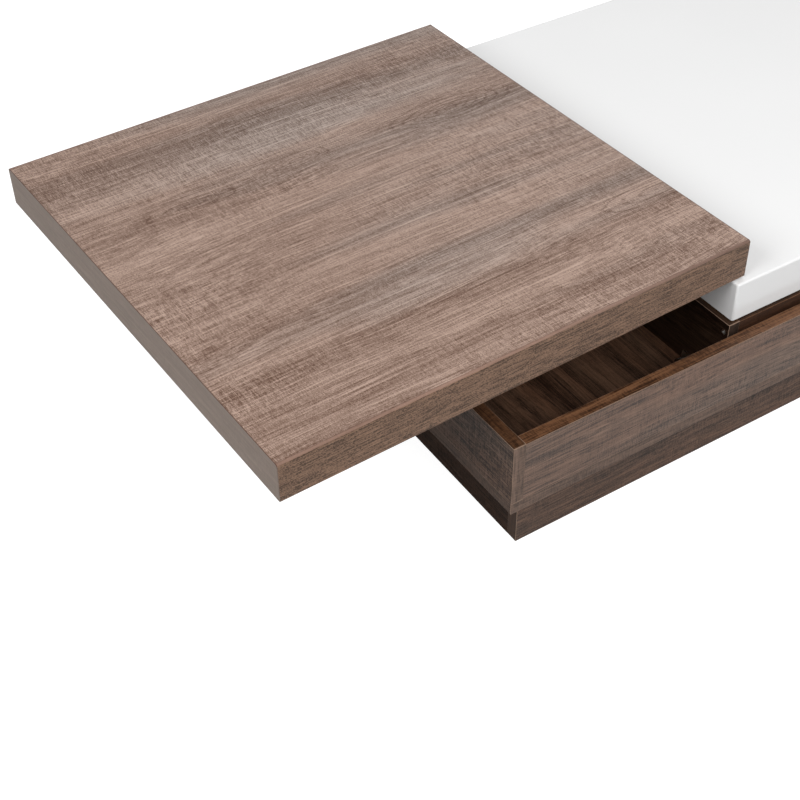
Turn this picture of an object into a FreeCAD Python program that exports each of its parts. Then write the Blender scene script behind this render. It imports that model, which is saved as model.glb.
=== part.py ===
import FreeCAD, Part
import math
import os

# Swivel coffee table, in millimetres. A low storage box stands on a recessed plinth. A square wood-grain
# top turns on a ball bearing over the open compartment at the left, and a white panel of like size is
# fixed on an inner frame at the right, just under the path of the turning top.
# Origin: on the floor under the middle of the storage box. +X runs along the box to the fixed panel,
# +Y to the back, +Z up.

V = FreeCAD.Vector
SAME_LEVEL = 1e-4        # heights this close count as one

# ---- Boards and edge bands ----
BOARD = 18.0             # thickness of every carcass board
BAND = 1.0               # thickness of the edge bands
BLOCK = 30.0             # side of the softwood corner blocks

# ---- Plinth ----
PLINTH_HEIGHT = 90.0
PLINTH_END_SETBACK = 30.0    # behind the ends of the box
PLINTH_SIDE_SETBACK = 25.0   # behind the front and back of the box

# ---- Storage box ----
WALL_HEIGHT = 95.0
COMPARTMENT = 346.0      # clear length of the open compartment
FRAME_GAP = 5.0          # air between the outer walls and the inner frame
FRAME_PROUD = 5.0        # inner frame past the fixed panel at front, back and right
DIVIDER_PROUD = 8.0      # divider past the fixed panel's left end
FRAME_RISE = 13.0        # inner frame's top above the rim of the box

# ---- Fixed panel ----
PANEL_LENGTH = 704.0
PANEL_DEPTH = 704.0
PANEL_THICK = 60.0
PANEL_SKIN = 5.0         # lacquered shell folded over the top and the four edges
PANEL_SHEET = 3.0        # thin sheet that closes the underside
PANEL_ROUND = 3.0        # rounding of the upright corners and the upper edges
PANEL_LOW_BEVEL = 1.2    # bevel of the lower edges
BATTEN = 40.0            # width of the battens inside both panels

# ---- Swivel top ----
TOP_SHORTER = 4.0        # each side of the top against the same side of the fixed panel
TOP_THICK = 56.0
TOP_SKIN = 3.0
TOP_LIPPING = 4.0        # moulded edge strip at front and back
TOP_ROUND = 3.0          # rounding of its upper edge
TOP_LOW_ROUND = 1.0
TOP_SETBACK = 4.0        # end of the closed top inside the left end of the box
TOP_TURN = 2.0           # degrees that the top stands turned from the box's length at rest
SLIDE_GAP = 3.0          # air between the turning top and the fixed panel
PIVOT_BLOCK = 250.0      # solid block inside the top, over the bearing
CORE_PITCH = 160.0       # length of a cell in the paper core
CORE_ROW = 95.0          # width of a cell
CORE_PAPER = 1.0
CORE_PLAY = 0.5          # paper core to the battens round it
PAD_RADIUS = 12.0        # felt glide pads under the top
PAD_THICK = 2.7
PAD_INSET = 40.0

# ---- Swivel bearing ----
PLATE = 200.0            # square steel plates
PLATE_THICK = 3.5
PLATE_CORNER = 10.0
PLATE_HOLE_INSET = 12.0
BEARING_HEIGHT = 10.0    # from the back of one plate to the back of the other
BALL_COUNT = 12
BALL_FLAT_COUNT = 8      # flats that stand for the round of a ball, seen along an axis
BALL_RADIUS = 3.0        # to the flats that stand for a ball's round
BALL_PLAY = 0.3          # ball to the races and to its pocket
RACE_RADIUS = 70.0       # middle of the race
COLLAR_RADIUS = 24.0     # outside of the lower plate's collar
COLLAR_WALL = 3.0
COLLAR_CLEAR = 1.0       # collar to the hole of the upper plate
COLLAR_LIP = 3.0         # lip rolled out over the step in the upper plate's hole
LIP_THICK = 1.5
LIP_PLAY = 0.3           # under the lip and over it
CAGE_WIDTH = 12.0
CAGE_THICK = 1.0

# ---- Pivot column ----
COLUMN = 220.0           # outside of the square column

# ---- Fixings ----
FLAT_COUNT = 6           # flats that stand for the round of a small fixing and of its hole
FIT = 0.05               # radial clearance of screws, dowels and cams in their holes
BOLT_SHANK = 2.5         # connector screws between boards
BOLT_HEAD = 4.5
BOLT_HEAD_DEEP = 2.5
BOLT_LENGTH = 50.0
SMALL_SHANK = 1.8        # screws of the brackets and the bearing plates
SMALL_HEAD = 3.6
SMALL_HEAD_DEEP = 1.5
SMALL_LENGTH = 16.0
CAM_FLAT_COUNT = 12      # flats of a cam and of a felt pad
DOWEL_RADIUS = 4.0
DOWEL_LENGTH = 30.0
DOWEL_INSET = 22.0       # dowels below the top and above the bottom of a wall
CAM_RADIUS = 7.5
CAM_DEPTH = 13.0
CAM_SETBACK = 34.0       # cam's middle from the end of its board
CAM_BOLT_RADIUS = 3.0
CAM_BOLT_IN = 11.0       # cam bolt's thread in the side wall
LONG_WALL_SCREW_COUNT = 3   # connector screws under the front and back walls
SHORT_WALL_SCREW_COUNT = 2  # and under the end walls
FRAME_SCREW_DROP = 16.0  # frame's connector screws from its top and bottom edges
FRAME_FOOT_INSET = 120.0  # screws under the divider and the far support from their ends
BRACKET_LEG = 15.0
BRACKET_HOLE = 9.0       # screw hole in a leg from the bracket's corner
BRACKET_SHEET = 1.5
BRACKET_WIDTH = 15.0
BRACKET_INSET = 69.0     # divider brackets behind the front and back ends of the divider

# ---- Heights ----
floor_top = PLINTH_HEIGHT + BOARD
rim = floor_top + WALL_HEIGHT
frame_top = rim + FRAME_RISE
panel_top = frame_top + PANEL_THICK
top_under = panel_top + SLIDE_GAP
top_upper = top_under + TOP_THICK
cap_top = top_under - BEARING_HEIGHT

# ---- Lengths and depths ----
surround = BOARD + FRAME_GAP + FRAME_PROUD
box_length = BOARD + COMPARTMENT + DIVIDER_PROUD + PANEL_LENGTH + surround
box_depth = PANEL_DEPTH + 2 * surround
box_x = (-box_length / 2, box_length / 2)
box_y = (-box_depth / 2, box_depth / 2)
inner_x = (box_x[0] + BOARD, box_x[1] - BOARD)
inner_y = (box_y[0] + BOARD, box_y[1] - BOARD)
divider_x = (inner_x[0] + COMPARTMENT, inner_x[0] + COMPARTMENT + BOARD)
frame_x = (divider_x[1], inner_x[1] - FRAME_GAP)
support_x = (frame_x[1] - BOARD, frame_x[1])
frame_y = (inner_y[0] + FRAME_GAP, inner_y[1] - FRAME_GAP)
panel_x = (divider_x[0] + DIVIDER_PROUD, divider_x[0] + DIVIDER_PROUD + PANEL_LENGTH)
panel_y = (-PANEL_DEPTH / 2, PANEL_DEPTH / 2)
plinth_x = (box_x[0] + PLINTH_END_SETBACK, box_x[1] - PLINTH_END_SETBACK)
plinth_y = (box_y[0] + PLINTH_SIDE_SETBACK, box_y[1] - PLINTH_SIDE_SETBACK)
top_length = PANEL_LENGTH - TOP_SHORTER
top_depth = PANEL_DEPTH - TOP_SHORTER
pivot_x = (inner_x[0] + divider_x[0]) / 2
top_reach = pivot_x - box_x[0] - TOP_SETBACK     # short side of the top, right of the pivot at rest

# ---- Polygon that stands for a ball's round, for each unit from its middle to a flat ----
ball_half_edge = math.tan(math.pi / BALL_FLAT_COUNT)
ball_corner = 1 / math.cos(math.pi / BALL_FLAT_COUNT)


# ---- Shapes ----
def slab(x, y, z):
    """Board from its ranges along X, Y and Z."""
    return Part.makeBox(x[1] - x[0], y[1] - y[0], z[1] - z[0], V(x[0], y[0], z[0]))


def shrink(span, amount):
    """Range pulled in at both ends."""
    return (span[0] + amount, span[1] - amount)


def low(span, size):
    """Strip of one size at the low end of a range."""
    return (span[0], span[0] + size)


def high(span, size):
    """Strip of one size at the high end of a range."""
    return (span[1] - size, span[1])


def middle(span, size=0.0):
    """Strip of one size in the middle of a range."""
    centre = (span[0] + span[1]) / 2
    return (centre - size / 2, centre + size / 2)


def spread(span, count):
    """Even places along a range, half a step in from its ends."""
    step = (span[1] - span[0]) / count
    return [span[0] + step * (i + 0.5) for i in range(count)]


def rod(at, along, radius, length):
    return Part.makeCylinder(radius, length, V(*at), V(*along))


def peg(at, along, radius, length, flats=FLAT_COUNT):
    """Body or hole of a small fixing: a regular prism in place of a cylinder."""
    ring = [2 * math.pi * (i + 0.5) / flats for i in range(flats)]
    outline = [V(radius * math.cos(a), radius * math.sin(a), 0) for a in ring]
    body = Part.Face(Part.makePolygon(outline + outline[:1])).extrude(V(0, 0, length))
    body.Placement = FreeCAD.Placement(V(*at), FreeCAD.Rotation(V(0, 0, 1), V(*along)))
    return body


def connector(at, along, grow=0.0):
    """Connector screw with its flat head flush at a point, or its hole when grown."""
    head = peg(at, along, BOLT_HEAD + grow, BOLT_HEAD_DEEP + grow)
    return head.fuse(peg(at, along, BOLT_SHANK + grow, BOLT_LENGTH + grow)).removeSplitter()


def small_screw(at, along, grow=0.0):
    """Short wood screw with its head let in flush, or its hole when grown."""
    head = peg(at, along, SMALL_HEAD + grow, SMALL_HEAD_DEEP + grow)
    return head.fuse(peg(at, along, SMALL_SHANK + grow, SMALL_LENGTH + grow)).removeSplitter()


def connectors(places, grow=0.0):
    return [connector(at, along, grow) for at, along in places]


def small_screws(places, grow=0.0):
    return [small_screw(at, along, grow) for at, along in places]


def bored(board, *hole_groups):
    """Board with holes cut where fixings pass through or into it."""
    holes = [hole for group in hole_groups for hole in group if hole.BoundBox.intersect(board.BoundBox)]
    return board.cut(holes) if holes else board


def save(node, *solids):
    """Write one node: a single solid, or a group of like solids."""
    shape = solids[0] if len(solids) == 1 else Part.makeCompound(list(solids))
    shape.exportStep(os.path.join("parts", node + ".step"))


def prism(points, lift):
    """Straight prism on a closed outline."""
    outline = [V(*p) for p in points]
    return Part.Face(Part.makePolygon(outline + outline[:1])).extrude(V(*lift))


# ---- Places of the fixings ----
def wall_screw_places():
    """Connector screws up through the bottom board into the four outer walls."""
    places = []
    for x in spread(box_x, LONG_WALL_SCREW_COUNT):
        for y in (box_y[0] + BOARD / 2, box_y[1] - BOARD / 2):
            places.append(((x, y, PLINTH_HEIGHT), (0, 0, 1)))
    for y in spread(box_y, SHORT_WALL_SCREW_COUNT):
        for x in (box_x[0] + BOARD / 2, box_x[1] - BOARD / 2):
            places.append(((x, y, PLINTH_HEIGHT), (0, 0, 1)))
    return places


def frame_foot_places():
    """Connector screws up through the bottom board into the divider and the far support."""
    places = []
    for x in (divider_x[0] + BOARD / 2, support_x[0] + BOARD / 2):
        for y in shrink(frame_y, FRAME_FOOT_INSET):
            places.append(((x, y, PLINTH_HEIGHT), (0, 0, 1)))
    return places


def frame_corner_places():
    """Connector screws through the divider and the far support into the ends of the frame's rails."""
    places = []
    for y in (frame_y[0] + BOARD / 2, frame_y[1] - BOARD / 2):
        for z in (floor_top + FRAME_SCREW_DROP, frame_top - FRAME_SCREW_DROP):
            places.append(((divider_x[0], y, z), (1, 0, 0)))
            places.append(((support_x[1], y, z), (-1, 0, 0)))
    return places


def column_block_centres():
    """Middles of the four corner blocks inside the pivot column."""
    reach = COLUMN / 2 - BOARD - BLOCK / 2
    return [(pivot_x + sx * reach, sy * reach) for sx in (-1, 1) for sy in (-1, 1)]


def column_foot_places():
    return [((x, y, PLINTH_HEIGHT), (0, 0, 1)) for x, y in column_block_centres()]


def bearing_corners():
    """Screw holes near the corners of the bearing's plates, from the pivot."""
    reach = PLATE / 2 - PLATE_HOLE_INSET
    return [(sx * reach, sy * reach) for sx in (-1, 1) for sy in (-1, 1)]


def lower_plate_places():
    return [((pivot_x + x, y, cap_top + PLATE_THICK), (0, 0, -1)) for x, y in bearing_corners()]


def corner_frames():
    """Each corner of the box as the joint's X, its direction into the long wall, and the wall's Y range."""
    frames = []
    for y in (low(box_y, BOARD), high(box_y, BOARD)):
        frames.append((inner_x[0], 1, y))
        frames.append((inner_x[1], -1, y))
    return frames


def dowels(grow=0.0):
    """Dowels between the long walls and the end walls, half in each."""
    pins = []
    for x, inward, y in corner_frames():
        for z in (floor_top + DOWEL_INSET, rim - DOWEL_INSET):
            half = DOWEL_LENGTH / 2 - BOARD / 2
            centre = x + inward * half
            start = (centre - DOWEL_LENGTH / 2 - grow, middle(y)[0], z)
            pins.append(peg(start, (1, 0, 0), DOWEL_RADIUS + grow, DOWEL_LENGTH + 2 * grow))
    return pins


def cams(grow=0.0):
    """Cam locks let into the inner faces of the long walls."""
    locks = []
    z = (floor_top + rim) / 2
    for x, inward, y in corner_frames():
        front = y[0] == box_y[0]
        face = y[1] if front else y[0]
        along = (0, -1, 0) if front else (0, 1, 0)
        centre = (x + inward * CAM_SETBACK, face, z)
        locks.append(peg(centre, along, CAM_RADIUS + grow, CAM_DEPTH + grow, CAM_FLAT_COUNT))
    return locks


def cam_bolts(grow=0.0):
    """Bolts screwed into the end walls, which the cams pull on."""
    bolts = []
    z = (floor_top + rim) / 2
    for x, inward, y in corner_frames():
        start = (x - inward * (CAM_BOLT_IN + grow), middle(y)[0], z)
        reach = CAM_BOLT_IN + CAM_SETBACK - CAM_RADIUS + 2 * grow
        bolts.append(peg(start, (inward, 0, 0), CAM_BOLT_RADIUS + grow, reach))
    return bolts


# ---- Plinth ----
def make_plinth():
    z = (0.0, PLINTH_HEIGHT)
    for node, y in (("plinth_front", low(plinth_y, BOARD)), ("plinth_back", high(plinth_y, BOARD))):
        save(node, slab(shrink(plinth_x, BAND), y, z))
    between = shrink(plinth_y, BOARD)
    save("plinth_left", slab(low(plinth_x, BOARD), between, z))
    save("plinth_right", slab(high(plinth_x, BOARD), between, z))
    save("plinth_cross_rails", *[slab(middle((x, x), BOARD), between, z) for x in (pivot_x, 0, -pivot_x)])
    bands = [slab(x, y, z) for x in (low(plinth_x, BAND), high(plinth_x, BAND))
             for y in (low(plinth_y, BOARD), high(plinth_y, BOARD))]
    save("plinth_end_bands", *bands)
    blocks = []
    for sx, x in ((1, plinth_x[0] + BOARD), (-1, plinth_x[1] - BOARD)):
        for sy, y in ((1, plinth_y[0] + BOARD), (-1, plinth_y[1] - BOARD)):
            base = PLINTH_HEIGHT - BLOCK
            corner = [(x, y, base), (x + sx * BLOCK, y, base), (x, y + sy * BLOCK, base)]
            blocks.append(prism(corner, (0, 0, BLOCK)))
    save("plinth_corner_blocks", *blocks)


# ---- Storage box ----
def make_box():
    foot_screws = wall_screw_places() + frame_foot_places() + column_foot_places()
    foot_holes = connectors(foot_screws, FIT)
    bracket_holes = bracket_screws(FIT)
    z = (PLINTH_HEIGHT, floor_top)
    board = slab(shrink(box_x, BAND), shrink(box_y, BAND), z)
    save("bottom_board", bored(board, foot_holes, bracket_holes))
    save("bottom_board_bands",
         slab(box_x, low(box_y, BAND), z),
         slab(box_x, high(box_y, BAND), z),
         slab(low(box_x, BAND), shrink(box_y, BAND), z),
         slab(high(box_x, BAND), shrink(box_y, BAND), z))

    joints = (foot_holes, dowels(FIT), cams(FIT), cam_bolts(FIT))
    z = (floor_top, rim - BAND)
    save("front_wall", bored(slab(inner_x, low(box_y, BOARD), z), *joints))
    save("back_wall", bored(slab(inner_x, high(box_y, BOARD), z), *joints))
    save("left_wall", bored(slab(low(box_x, BOARD), shrink(box_y, BAND), z), *joints))
    save("right_wall", bored(slab(high(box_x, BOARD), shrink(box_y, BAND), z), *joints))
    z = (rim - BAND, rim)
    save("rim_bands",
         slab(inner_x, low(box_y, BOARD), z),
         slab(inner_x, high(box_y, BOARD), z),
         slab(low(box_x, BOARD), shrink(box_y, BAND), z),
         slab(high(box_x, BOARD), shrink(box_y, BAND), z))
    ends = [slab(x, y, (floor_top, rim)) for x in (low(box_x, BOARD), high(box_x, BOARD))
            for y in (low(box_y, BAND), high(box_y, BAND))]
    save("wall_end_bands", *ends)
    save("box_screws", *connectors(foot_screws))
    save("corner_dowels", *dowels())
    save("cam_locks", *cams())
    save("cam_bolts", *cam_bolts())


# ---- Inner frame that carries the fixed panel ----
def angle_bracket(x, y, z, out, up):
    """Bent steel angle with its corner at a point, one leg along X and one along Z."""
    profile = [(0, 0), (BRACKET_LEG, 0), (BRACKET_LEG, BRACKET_SHEET), (BRACKET_SHEET, BRACKET_SHEET),
               (BRACKET_SHEET, BRACKET_LEG), (0, BRACKET_LEG)]
    points = [(x + out * a, y - BRACKET_WIDTH / 2, z + up * b) for a, b in profile]
    return prism(points, (0, BRACKET_WIDTH, 0))


def bracket_screw_places(x, y, z, out, up):
    """One screw through each leg: sideways into the board and up or down past it."""
    return [((x + out * BRACKET_SHEET, y, z + up * BRACKET_HOLE), (-out, 0, 0)),
            ((x + out * BRACKET_HOLE, y, z + up * BRACKET_SHEET), (0, 0, -up))]


def bracket_seats():
    """Brackets low on the divider's compartment side, and high inside the frame under the panel."""
    seats = [(divider_x[0], y, floor_top, -1, 1) for y in shrink(frame_y, BRACKET_INSET)]
    for y in shrink(frame_y, FRAME_FOOT_INSET):
        seats.append((divider_x[1], y, frame_top, 1, -1))
        seats.append((support_x[0], y, frame_top, -1, -1))
    return seats


def bracket_screws(grow=0.0):
    places = [place for seat in bracket_seats() for place in bracket_screw_places(*seat)]
    return small_screws(places, grow)


def make_frame():
    corner_places = frame_corner_places()
    corner_holes = connectors(corner_places, FIT)
    foot_holes = connectors(frame_foot_places(), FIT)
    bracket_holes = bracket_screws(FIT)
    z = (floor_top, frame_top - BAND)
    holes = (corner_holes, foot_holes, bracket_holes)
    save("divider", bored(slab(divider_x, shrink(frame_y, BAND), z), *holes))
    save("far_support", bored(slab(support_x, shrink(frame_y, BAND), z), *holes))
    rail_x = (frame_x[0], support_x[0])
    save("frame_front_rail", bored(slab(rail_x, low(frame_y, BOARD), z), corner_holes))
    save("frame_back_rail", bored(slab(rail_x, high(frame_y, BOARD), z), corner_holes))
    save("frame_cross_rail", slab(middle(rail_x, BOARD), shrink(frame_y, BOARD), z))
    z = (frame_top - BAND, frame_top)
    tops = [slab(x, shrink(frame_y, BAND), z) for x in (divider_x, support_x)]
    tops += [slab(rail_x, y, z) for y in (low(frame_y, BOARD), high(frame_y, BOARD))]
    save("frame_top_bands", *tops)
    ends = [slab(x, y, (floor_top, frame_top)) for x in (divider_x, support_x)
            for y in (low(frame_y, BAND), high(frame_y, BAND))]
    save("frame_end_bands", *ends)
    save("frame_screws", *connectors(corner_places))
    save("angle_brackets", *[bored(angle_bracket(*seat), bracket_holes) for seat in bracket_seats()])
    save("bracket_screws", *bracket_screws())


# ---- Hollow panels ----
def paper_core(x, y, z, keep_out=None):
    """Expanded paper core: zigzag strips side by side, their folds just short of each other."""
    rows = int((y[1] - y[0]) // CORE_ROW)
    row = (y[1] - y[0]) / rows
    folds = int((x[1] - x[0]) // (CORE_PITCH / 2))
    step = (x[1] - x[0]) / folds
    swing = row / 2 - CORE_PLAY
    strips = []
    for r in range(rows):
        centre = y[0] + row * (r + 0.5)
        side = 1 if r % 2 else -1
        crest = swing - CORE_PAPER
        line = [(x[0] + step * i, centre + side * (-1) ** i * crest / 2 - CORE_PAPER / 2)
                for i in range(folds + 1)]
        outline = [(px, py, z[0]) for px, py in line]
        outline += [(px, py + CORE_PAPER, z[0]) for px, py in reversed(line)]
        strips.append(prism(outline, (0, 0, z[1] - z[0])))
    if keep_out is None:
        return strips
    pieces = [strip.cut(keep_out) for strip in strips]
    return [solid for piece in pieces for solid in piece.Solids]


def edge_loop(shape, level):
    """Edges that lie all at one height."""
    return [e for e in shape.Edges
            if abs(e.BoundBox.ZMin - level) < SAME_LEVEL and abs(e.BoundBox.ZMax - level) < SAME_LEVEL]


def make_fixed_panel():
    z = (frame_top, panel_top)
    body = slab(panel_x, panel_y, z)
    upright = [e for e in body.Edges if e.BoundBox.ZLength > PANEL_THICK / 2]
    body = body.makeFillet(PANEL_ROUND, upright + edge_loop(body, panel_top))
    body = body.makeChamfer(PANEL_LOW_BEVEL, edge_loop(body, frame_top))
    hollow_x = shrink(panel_x, PANEL_SKIN)
    hollow_y = shrink(panel_y, PANEL_SKIN)
    save("fixed_panel_shell", body.cut(slab(hollow_x, hollow_y, (frame_top, panel_top - PANEL_SKIN))))
    screw_holes = bracket_screws(FIT)
    sheet_top = frame_top + PANEL_SHEET
    save("fixed_panel_sheet", bored(slab(hollow_x, hollow_y, (frame_top, sheet_top)), screw_holes))
    z = (sheet_top, panel_top - PANEL_SKIN)
    inner = shrink(hollow_y, BATTEN)
    save("fixed_panel_battens",
         slab(hollow_x, low(hollow_y, BATTEN), z),
         slab(hollow_x, high(hollow_y, BATTEN), z),
         bored(slab(low(hollow_x, BATTEN), inner, z), screw_holes),
         bored(slab(high(hollow_x, BATTEN), inner, z), screw_holes))
    save("fixed_panel_core", *paper_core(shrink(hollow_x, BATTEN + CORE_PLAY), shrink(inner, CORE_PLAY), z))


def placed(shape):
    """From the pivot's own frame to its place and turn at rest."""
    shape = shape.copy()
    shape.rotate(V(0, 0, 0), V(0, 0, 1), TOP_TURN)
    shape.translate(V(pivot_x, 0, 0))
    return shape


def save_placed(node, *solids):
    save(node, *[placed(solid) for solid in solids])


def lipping_outline(x, front):
    """Section of the moulded edge strip, its outer upper edge rounded."""
    y = -top_depth / 2 if front else top_depth / 2
    into = 1 if front else -1

    def at(a, b):
        return V(x, y + into * a, top_under + b)

    turn = TOP_ROUND * (1 - math.sqrt(0.5))
    foot = TOP_LOW_ROUND * (1 - math.sqrt(0.5))
    edges = [
        Part.makeLine(at(TOP_LIPPING, 0), at(TOP_LIPPING, TOP_THICK)),
        Part.makeLine(at(TOP_LIPPING, TOP_THICK), at(TOP_ROUND, TOP_THICK)),
        Part.Arc(at(TOP_ROUND, TOP_THICK), at(turn, TOP_THICK - turn),
                 at(0, TOP_THICK - TOP_ROUND)).toShape(),
        Part.makeLine(at(0, TOP_THICK - TOP_ROUND), at(0, TOP_LOW_ROUND)),
        Part.Arc(at(0, TOP_LOW_ROUND), at(foot, foot), at(TOP_LOW_ROUND, 0)).toShape(),
        Part.makeLine(at(TOP_LOW_ROUND, 0), at(TOP_LIPPING, 0)),
    ]
    return Part.Face(Part.Wire(edges))


def make_swivel_top():
    x = (top_reach - top_length, top_reach)
    y = (-top_depth / 2, top_depth / 2)
    z = (top_under, top_upper)
    core_x = shrink(x, BAND)
    core_y = shrink(y, TOP_LIPPING)
    core_z = shrink(z, TOP_SKIN)
    plate_holes = small_screws(upper_plate_places(), FIT)
    save_placed("top_upper_skin", slab(core_x, core_y, high(z, TOP_SKIN)))
    save_placed("top_lower_skin", bored(slab(core_x, core_y, low(z, TOP_SKIN)), plate_holes))
    along = V(core_x[1] - core_x[0], 0, 0)
    save_placed("top_front_lipping", lipping_outline(core_x[0], True).extrude(along))
    save_placed("top_back_lipping", lipping_outline(core_x[0], False).extrude(along))
    for node, start in (("top_left_band", x[0]), ("top_right_band", core_x[1])):
        lippings = [lipping_outline(start, front).extrude(V(BAND, 0, 0)) for front in (True, False)]
        band = slab((start, start + BAND), core_y, z).fuse(lippings).removeSplitter()
        save_placed(node, band)
    save_placed("top_front_batten", slab(core_x, low(core_y, BATTEN), core_z))
    save_placed("top_back_batten", slab(core_x, high(core_y, BATTEN), core_z))
    inner_y_range = shrink(core_y, BATTEN)
    save_placed("top_left_batten", slab(low(core_x, BATTEN), inner_y_range, core_z))
    save_placed("top_right_batten", slab(high(core_x, BATTEN), inner_y_range, core_z))
    block = middle((0, 0), PIVOT_BLOCK)
    save_placed("top_pivot_block", bored(slab(block, block, core_z), plate_holes))
    clear = middle((0, 0), PIVOT_BLOCK + 2 * CORE_PLAY)
    strips = paper_core(shrink(core_x, BATTEN + CORE_PLAY), shrink(inner_y_range, CORE_PLAY), core_z,
                        slab(clear, clear, z))
    save_placed("top_paper_core", *strips)
    pads = [peg((px, py, top_under - PAD_THICK), (0, 0, 1), PAD_RADIUS, PAD_THICK, CAM_FLAT_COUNT)
            for px in shrink(x, PAD_INSET) for py in shrink(y, PAD_INSET)]
    save_placed("top_glide_pads", *pads)


# ---- Swivel bearing: two plates with a caged ring of balls in the races between them ----
def upper_plate_places():
    return [((x, y, top_under - PLATE_THICK), (0, 0, 1)) for x, y in bearing_corners()]


def revolved(points):
    """Solid of revolution about the pivot from radius and height pairs."""
    outline = [V(r, 0, z) for r, z in points]
    return Part.Face(Part.makePolygon(outline + outline[:1])).revolve(V(0, 0, 0), V(0, 0, 1), 360)


def race_plate(hole_radius):
    """Square plate lying on its back, with a hole in the middle and the race turned in its face."""
    span = middle((0, 0), PLATE)
    plate = slab(span, span, (0, PLATE_THICK))
    upright = [e for e in plate.Edges if e.BoundBox.ZLength > PLATE_THICK / 2]
    plate = plate.makeFillet(PLATE_CORNER, upright)
    plate = plate.cut(rod((0, 0, 0), (0, 0, 1), hole_radius, PLATE_THICK))
    floor_height = BEARING_HEIGHT / 2 - BALL_RADIUS - BALL_PLAY
    floor_half = (BALL_RADIUS + BALL_PLAY) * ball_half_edge
    mouth_half = floor_half + PLATE_THICK - floor_height
    race = [
        (RACE_RADIUS - mouth_half, PLATE_THICK),
        (RACE_RADIUS - floor_half, floor_height),
        (RACE_RADIUS + floor_half, floor_height),
        (RACE_RADIUS + mouth_half, PLATE_THICK),
    ]
    return plate.cut(revolved(race))


def ball():
    """Ball in the race at +X, the same polygon seen along the race, across it and from above."""
    body = None
    for along in ((1, 0, 0), (0, 1, 0), (0, 0, 1)):
        start = (RACE_RADIUS - along[0] * BALL_RADIUS, -along[1] * BALL_RADIUS, -along[2] * BALL_RADIUS)
        bar = peg(start, along, BALL_RADIUS * ball_corner, 2 * BALL_RADIUS, BALL_FLAT_COUNT)
        body = bar if body is None else body.common(bar)
    return body


def round_the_race(shape, height):
    """Copies of a shape at every ball's place."""
    copies = []
    for i in range(BALL_COUNT):
        copy = shape.copy()
        copy.rotate(V(0, 0, 0), V(0, 0, 1), 360.0 * i / BALL_COUNT)
        copy.translate(V(pivot_x, 0, height))
        copies.append(copy)
    return copies


def make_bearing():
    bore = COLLAR_RADIUS - COLLAR_WALL
    lip_top = BEARING_HEIGHT - LIP_PLAY
    lip_under = lip_top - LIP_THICK
    step = lip_under - LIP_PLAY
    lip_reach = COLLAR_RADIUS + COLLAR_LIP
    collar = [(bore, 0), (COLLAR_RADIUS, 0), (COLLAR_RADIUS, lip_under), (lip_reach, lip_under),
              (lip_reach, lip_top), (bore, lip_top)]
    lower = race_plate(COLLAR_RADIUS).fuse(revolved(collar)).removeSplitter()
    lower.translate(V(pivot_x, 0, cap_top))
    save("bearing_lower_plate", bored(lower, small_screws(lower_plate_places(), FIT)))
    save("bearing_lower_screws", *small_screws(lower_plate_places()))

    upper = race_plate(COLLAR_RADIUS + COLLAR_CLEAR)
    upper = upper.cut(rod((0, 0, 0), (0, 0, 1), lip_reach + COLLAR_CLEAR, BEARING_HEIGHT - step))
    upper.rotate(V(0, 0, 0), V(1, 0, 0), 180)
    upper.translate(V(0, 0, top_under))
    save_placed("bearing_upper_plate", bored(upper, small_screws(upper_plate_places(), FIT)))
    save_placed("bearing_upper_screws", *small_screws(upper_plate_places()))

    mid_height = cap_top + BEARING_HEIGHT / 2
    save("bearing_balls", *round_the_race(ball(), mid_height))
    z = mid_height - CAGE_THICK / 2
    outer, inner = [peg((pivot_x, 0, z), (0, 0, 1), radius, CAGE_THICK, 2 * BALL_COUNT)
                    for radius in (RACE_RADIUS + CAGE_WIDTH / 2, RACE_RADIUS - CAGE_WIDTH / 2)]
    pocket_reach = (BALL_RADIUS + BALL_PLAY) * ball_corner
    pocket = peg((RACE_RADIUS, 0, 0), (0, 0, 1), pocket_reach, CAGE_THICK, BALL_FLAT_COUNT)
    save("bearing_cage", outer.cut([inner] + round_the_race(pocket, z)))


# ---- Pivot column ----
def make_column():
    x = middle((pivot_x, pivot_x), COLUMN)
    y = middle((0, 0), COLUMN)
    z = (floor_top, cap_top - BOARD)
    save("column_front", slab(x, low(y, BOARD), z))
    save("column_back", slab(x, high(y, BOARD), z))
    save("column_left", slab(low(x, BOARD), shrink(y, BOARD), z))
    save("column_right", slab(high(x, BOARD), shrink(y, BOARD), z))
    foot_holes = connectors(column_foot_places(), FIT)
    plate_holes = small_screws(lower_plate_places(), FIT)
    save("column_cap", bored(slab(x, y, (cap_top - BOARD, cap_top)), plate_holes))
    blocks = [slab(middle((block_x, block_x), BLOCK), middle((block_y, block_y), BLOCK), z)
              for block_x, block_y in column_block_centres()]
    save("column_blocks", *[bored(block, foot_holes) for block in blocks])


os.makedirs("parts", exist_ok=True)
make_plinth()
make_box()
make_frame()
make_fixed_panel()
make_column()
make_bearing()
make_swivel_top()
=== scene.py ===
import math

import bmesh
import bpy
from mathutils import Matrix, Vector


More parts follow.
